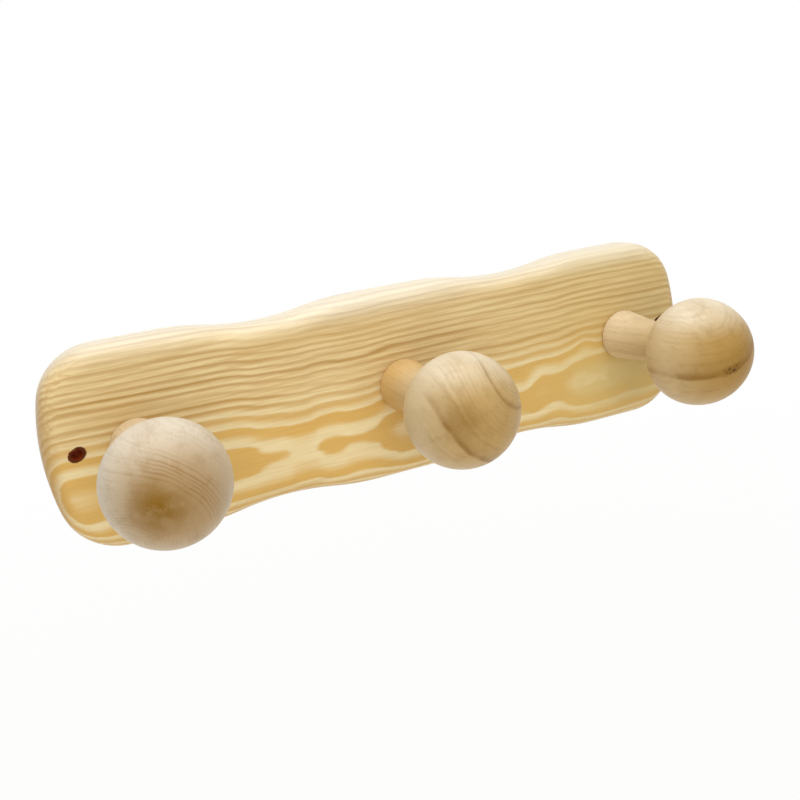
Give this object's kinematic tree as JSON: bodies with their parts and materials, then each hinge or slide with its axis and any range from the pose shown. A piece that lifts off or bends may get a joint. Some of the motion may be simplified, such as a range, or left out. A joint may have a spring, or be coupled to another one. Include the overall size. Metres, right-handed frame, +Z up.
{
  "type": "wall coat rack",
  "caption": "Pine board with wavy long edges and bowed ends, drilled for wall screws, carrying a row of turned ball knobs to hang coats on.",
  "frame": {"origin": "midway between the two wall-screw holes, on the board's back face, which is the wall plane", "axes": "+X along the board to the right as seen from the front, +Y into the wall, +Z up"},
  "size_m": [0.327, 0.1015, 0.09],
  "materials": {
    "pine": "sanded pine with a thin clear satin lacquer",
    "turned_hardwood": "turned pale hardwood with a thin clear satin lacquer",
    "screw_steel": "zinc-plated steel"
  },
  "bodies": {
    "root": {"backboard": "pine", "left_knob": "turned_hardwood", "middle_knob": "turned_hardwood", "right_knob": "turned_hardwood", "left_knob_screw": "screw_steel", "middle_knob_screw": "screw_steel", "right_knob_screw": "screw_steel"}
  },
  "joints": []
}
